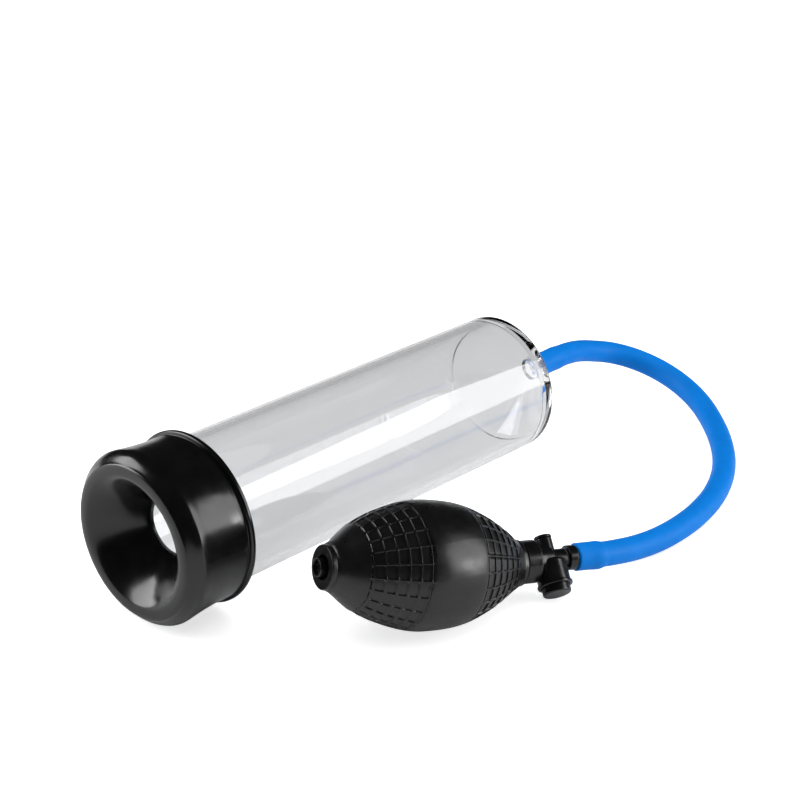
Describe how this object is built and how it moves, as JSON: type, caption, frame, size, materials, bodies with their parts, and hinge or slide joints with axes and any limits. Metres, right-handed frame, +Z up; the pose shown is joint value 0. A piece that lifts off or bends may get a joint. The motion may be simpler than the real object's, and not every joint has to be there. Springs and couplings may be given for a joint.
{
  "type": "hand vacuum pump",
  "caption": "Clear closed-end vacuum cylinder with a soft ring sleeve, fed by a hose from a ribbed squeeze bulb with check valves and a push-button release valve.",
  "frame": {"origin": "centre of the footprint of the pump without its hose, on the surface it lies on", "axes": "+X from the sleeve's mouth towards the cylinder's closed end, +Z up, -Y towards the squeeze bulb"},
  "size_m": [0.3012, 0.1492, 0.0699],
  "materials": {
    "clear_plastic": "clear, polished, injection moulded",
    "sleeve_rubber": "glossy soft elastomer",
    "blue_silicone": "satin silicone",
    "bulb_rubber": "satin moulded rubber with ribbed grip",
    "black_plastic": "semi-gloss moulded plastic",
    "seal_rubber": "matte",
    "spring_steel": "drawn wire"
  },
  "bodies": {
    "bulb_unit": {"bulb": "bulb_rubber", "tail_valve_body": "black_plastic", "tail_valve_retainer": "black_plastic", "tail_valve_spring": "spring_steel", "valve_body": "black_plastic", "intake_cage": "black_plastic", "intake_spring": "spring_steel", "barrel_cap": "black_plastic", "release_spring": "spring_steel", "hose_barb": "black_plastic", "barb_o_ring": "seal_rubber", "hose": "blue_silicone"},
    "cylinder": {"cylinder": "clear_plastic"},
    "sleeve": {"sleeve": "sleeve_rubber"},
    "release_valve": {"release_button": "black_plastic", "release_stem": "spring_steel", "release_seal": "seal_rubber"},
    "tail_disc": {"tail_valve_disc": "seal_rubber"},
    "intake_disc": {"intake_disc": "seal_rubber"}
  },
  "joints": [
    {"name": "cylinder_pull", "type": "slide", "parent": "bulb_unit", "child": "cylinder", "axis": [-0.9997, 0, 0.0262], "range_m": [0, 0.018]},
    {"name": "sleeve_pull", "type": "slide", "parent": "cylinder", "child": "sleeve", "axis": [-0.9997, 0, 0.0262], "range_m": [0, 0.03]},
    {"name": "release_press", "type": "slide", "parent": "bulb_unit", "child": "release_valve", "axis": [0.3705, 0.6609, 0.6526], "range_m": [0, 0.0022], "stiffness_N_per_m": 350, "springref_m": -0.003, "deforming": ["release_spring"]},
    {"name": "tail_valve_open", "type": "slide", "parent": "bulb_unit", "child": "tail_disc", "axis": [-0.917, 0.3158, 0.2436], "range_m": [0, 0.001], "stiffness_N_per_m": 20, "springref_m": -0.0005, "deforming": ["tail_valve_spring"]},
    {"name": "intake_open", "type": "slide", "parent": "bulb_unit", "child": "intake_disc", "axis": [-0.9153, 0.3791, 0.1357], "range_m": [0, 0.001], "stiffness_N_per_m": 20, "springref_m": -0.0005, "deforming": ["intake_spring"]}
  ]
}
